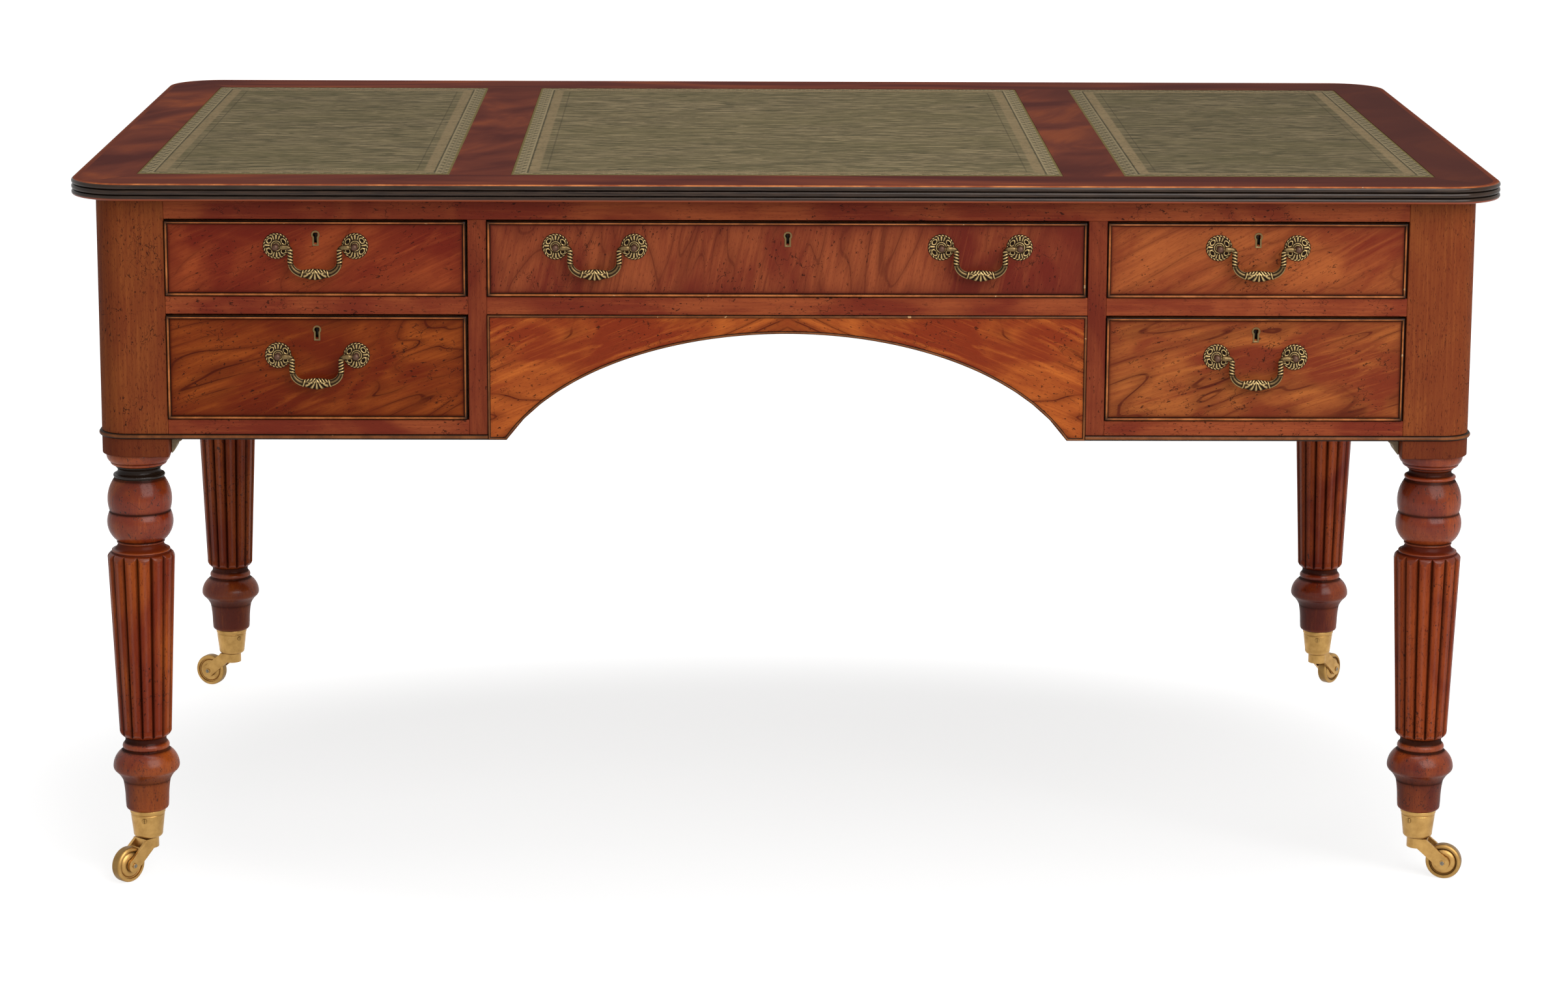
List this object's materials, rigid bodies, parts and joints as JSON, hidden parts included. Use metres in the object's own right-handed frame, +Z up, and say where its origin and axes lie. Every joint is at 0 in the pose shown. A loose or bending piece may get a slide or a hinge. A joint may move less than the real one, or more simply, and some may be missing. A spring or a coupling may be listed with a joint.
{
  "type": "partners desk",
  "caption": "Writing desk with drawers on both long sides, a leather-inset top, an arched kneehole, bail handles and turned, reeded legs on brass castors.",
  "frame": {"origin": "centre of the desk's footprint, on the floor", "axes": "+X along the desk to the right as seen from the front, +Y from the front to the back, +Z up"},
  "size_m": [1.525, 0.915, 0.777],
  "materials": {
    "mahogany": "waxed and worn",
    "ebonised_wood": "stained black, rubbed through",
    "plain_oak": "unfinished",
    "leather": "waxed, tooled",
    "antique_brass": "antique",
    "polished_brass": "lacquered"
  },
  "bodies": {
    "desk": {"top_board": "mahogany", "edge_moulding": "ebonised_wood", "writing_leathers": "leather", "legs": "mahogany", "castor_cups": "polished_brass", "rails": "mahogany", "carcase_panels": "mahogany", "inner_boards": "plain_oak", "kneehole_aprons": "mahogany", "carcase_beads": "ebonised_wood"},
    "front_top_left_drawer": {"front_top_left_face": "mahogany", "front_top_left_box": "plain_oak", "front_top_left_fittings": "antique_brass"},
    "front_top_left_bail": {"front_top_left_bail": "antique_brass"},
    "front_top_centre_drawer": {"front_top_centre_face": "mahogany", "front_top_centre_box": "plain_oak", "front_top_centre_fittings": "antique_brass"},
    "front_top_centre_a_bail": {"front_top_centre_a_bail": "antique_brass"},
    "front_top_centre_b_bail": {"front_top_centre_b_bail": "antique_brass"},
    "front_top_right_drawer": {"front_top_right_face": "mahogany", "front_top_right_box": "plain_oak", "front_top_right_fittings": "antique_brass"},
    "front_top_right_bail": {"front_top_right_bail": "antique_brass"},
    "front_bottom_left_drawer": {"front_bottom_left_face": "mahogany", "front_bottom_left_box": "plain_oak", "front_bottom_left_fittings": "antique_brass"},
    "front_bottom_left_bail": {"front_bottom_left_bail": "antique_brass"},
    "front_bottom_right_drawer": {"front_bottom_right_face": "mahogany", "front_bottom_right_box": "plain_oak", "front_bottom_right_fittings": "antique_brass"},
    "front_bottom_right_bail": {"front_bottom_right_bail": "antique_brass"},
    "back_top_left_drawer": {"back_top_left_face": "mahogany", "back_top_left_box": "plain_oak", "back_top_left_fittings": "antique_brass"},
    "back_top_left_bail": {"back_top_left_bail": "antique_brass"},
    "back_top_centre_drawer": {"back_top_centre_face": "mahogany", "back_top_centre_box": "plain_oak", "back_top_centre_fittings": "antique_brass"},
    "back_top_centre_a_bail": {"back_top_centre_a_bail": "antique_brass"},
    "back_top_centre_b_bail": {"back_top_centre_b_bail": "antique_brass"},
    "back_top_right_drawer": {"back_top_right_face": "mahogany", "back_top_right_box": "plain_oak", "back_top_right_fittings": "antique_brass"},
    "back_top_right_bail": {"back_top_right_bail": "antique_brass"},
    "back_bottom_left_drawer": {"back_bottom_left_face": "mahogany", "back_bottom_left_box": "plain_oak", "back_bottom_left_fittings": "antique_brass"},
    "back_bottom_left_bail": {"back_bottom_left_bail": "antique_brass"},
    "back_bottom_right_drawer": {"back_bottom_right_face": "mahogany", "back_bottom_right_box": "plain_oak", "back_bottom_right_fittings": "antique_brass"},
    "back_bottom_right_bail": {"back_bottom_right_bail": "antique_brass"},
    "front_left_fork": {"front_left_fork": "polished_brass"},
    "front_left_wheel": {"front_left_wheel": "polished_brass"},
    "front_right_fork": {"front_right_fork": "polished_brass"},
    "front_right_wheel": {"front_right_wheel": "polished_brass"},
    "back_left_fork": {"back_left_fork": "polished_brass"},
    "back_left_wheel": {"back_left_wheel": "polished_brass"},
    "back_right_fork": {"back_right_fork": "polished_brass"},
    "back_right_wheel": {"back_right_wheel": "polished_brass"}
  },
  "joints": [
    {"name": "front_top_left_slide", "type": "slide", "parent": "desk", "child": "front_top_left_drawer", "axis": [0, -1, 0], "range_m": [0, 0.3]},
    {"name": "front_top_left_bail_swing", "type": "hinge", "parent": "front_top_left_drawer", "child": "front_top_left_bail", "pos_m": [-0.50075, -0.442, 0.7079], "axis": [-1, 0, 0], "range_deg": [0, 90]},
    {"name": "front_top_centre_slide", "type": "slide", "parent": "desk", "child": "front_top_centre_drawer", "axis": [0, -1, 0], "range_m": [0, 0.3]},
    {"name": "front_top_centre_a_bail_swing", "type": "hinge", "parent": "front_top_centre_drawer", "child": "front_top_centre_a_bail", "pos_m": [-0.2048, -0.442, 0.7079], "axis": [-1, 0, 0], "range_deg": [0, 90]},
    {"name": "front_top_centre_b_bail_swing", "type": "hinge", "parent": "front_top_centre_drawer", "child": "front_top_centre_b_bail", "pos_m": [0.2048, -0.442, 0.7079], "axis": [-1, 0, 0], "range_deg": [0, 90]},
    {"name": "front_top_right_slide", "type": "slide", "parent": "desk", "child": "front_top_right_drawer", "axis": [0, -1, 0], "range_m": [0, 0.3]},
    {"name": "front_top_right_bail_swing", "type": "hinge", "parent": "front_top_right_drawer", "child": "front_top_right_bail", "pos_m": [0.50075, -0.442, 0.7079], "axis": [-1, 0, 0], "range_deg": [0, 90]},
    {"name": "front_bottom_left_slide", "type": "slide", "parent": "desk", "child": "front_bottom_left_drawer", "axis": [0, -1, 0], "range_m": [0, 0.3]},
    {"name": "front_bottom_left_bail_swing", "type": "hinge", "parent": "front_bottom_left_drawer", "child": "front_bottom_left_bail", "pos_m": [-0.50075, -0.442, 0.58995], "axis": [-1, 0, 0], "range_deg": [0, 90]},
    {"name": "front_bottom_right_slide", "type": "slide", "parent": "desk", "child": "front_bottom_right_drawer", "axis": [0, -1, 0], "range_m": [0, 0.3]},
    {"name": "front_bottom_right_bail_swing", "type": "hinge", "parent": "front_bottom_right_drawer", "child": "front_bottom_right_bail", "pos_m": [0.50075, -0.442, 0.58995], "axis": [-1, 0, 0], "range_deg": [0, 90]},
    {"name": "back_top_left_slide", "type": "slide", "parent": "desk", "child": "back_top_left_drawer", "axis": [0, 1, 0], "range_m": [0, 0.3]},
    {"name": "back_top_left_bail_swing", "type": "hinge", "parent": "back_top_left_drawer", "child": "back_top_left_bail", "pos_m": [0.50075, 0.442, 0.7079], "axis": [1, 0, 0], "range_deg": [0, 90]},
    {"name": "back_top_centre_slide", "type": "slide", "parent": "desk", "child": "back_top_centre_drawer", "axis": [0, 1, 0], "range_m": [0, 0.3]},
    {"name": "back_top_centre_a_bail_swing", "type": "hinge", "parent": "back_top_centre_drawer", "child": "back_top_centre_a_bail", "pos_m": [0.2048, 0.442, 0.7079], "axis": [1, 0, 0], "range_deg": [0, 90]},
    {"name": "back_top_centre_b_bail_swing", "type": "hinge", "parent": "back_top_centre_drawer", "child": "back_top_centre_b_bail", "pos_m": [-0.2048, 0.442, 0.7079], "axis": [1, 0, 0], "range_deg": [0, 90]},
    {"name": "back_top_right_slide", "type": "slide", "parent": "desk", "child": "back_top_right_drawer", "axis": [0, 1, 0], "range_m": [0, 0.3]},
    {"name": "back_top_right_bail_swing", "type": "hinge", "parent": "back_top_right_drawer", "child": "back_top_right_bail", "pos_m": [-0.50075, 0.442, 0.7079], "axis": [1, 0, 0], "range_deg": [0, 90]},
    {"name": "back_bottom_left_slide", "type": "slide", "parent": "desk", "child": "back_bottom_left_drawer", "axis": [0, 1, 0], "range_m": [0, 0.3]},
    {"name": "back_bottom_left_bail_swing", "type": "hinge", "parent": "back_bottom_left_drawer", "child": "back_bottom_left_bail", "pos_m": [0.50075, 0.442, 0.58995], "axis": [1, 0, 0], "range_deg": [0, 90]},
    {"name": "back_bottom_right_slide", "type": "slide", "parent": "desk", "child": "back_bottom_right_drawer", "axis": [0, 1, 0], "range_m": [0, 0.3]},
    {"name": "back_bottom_right_bail_swing", "type": "hinge", "parent": "back_bottom_right_drawer", "child": "back_bottom_right_bail", "pos_m": [-0.50075, 0.442, 0.58995], "axis": [1, 0, 0], "range_deg": [0, 90]},
    {"name": "front_left_swivel", "type": "hinge", "parent": "desk", "child": "front_left_fork", "pos_m": [-0.699, -0.394, 0.045], "axis": [0, 0, 1], "continuous": true},
    {"name": "front_left_roll", "type": "hinge", "parent": "front_left_fork", "child": "front_left_wheel", "pos_m": [-0.71868, -0.41664, 0.0195], "axis": [0.7547, -0.6561, 0], "continuous": true},
    {"name": "front_right_swivel", "type": "hinge", "parent": "desk", "child": "front_right_fork", "pos_m": [0.699, -0.394, 0.045], "axis": [0, 0, 1], "continuous": true},
    {"name": "front_right_roll", "type": "hinge", "parent": "front_right_fork", "child": "front_right_wheel", "pos_m": [0.72753, -0.40327, 0.0195], "axis": [0.309, 0.9511, 0], "continuous": true},
    {"name": "back_left_swivel", "type": "hinge", "parent": "desk", "child": "back_left_fork", "pos_m": [-0.699, 0.394, 0.045], "axis": [0, 0, 1], "continuous": true},
    {"name": "back_left_roll", "type": "hinge", "parent": "back_left_fork", "child": "back_left_wheel", "pos_m": [-0.72682, 0.40524, 0.0195], "axis": [-0.3746, -0.9272, 0], "continuous": true},
    {"name": "back_right_swivel", "type": "hinge", "parent": "desk", "child": "back_right_fork", "pos_m": [0.699, 0.394, 0.045], "axis": [0, 0, 1], "continuous": true},
    {"name": "back_right_roll", "type": "hinge", "parent": "back_right_fork", "child": "back_right_wheel", "pos_m": [0.71828, 0.41698, 0.0195], "axis": [-0.766, 0.6428, 0], "continuous": true}
  ]
}
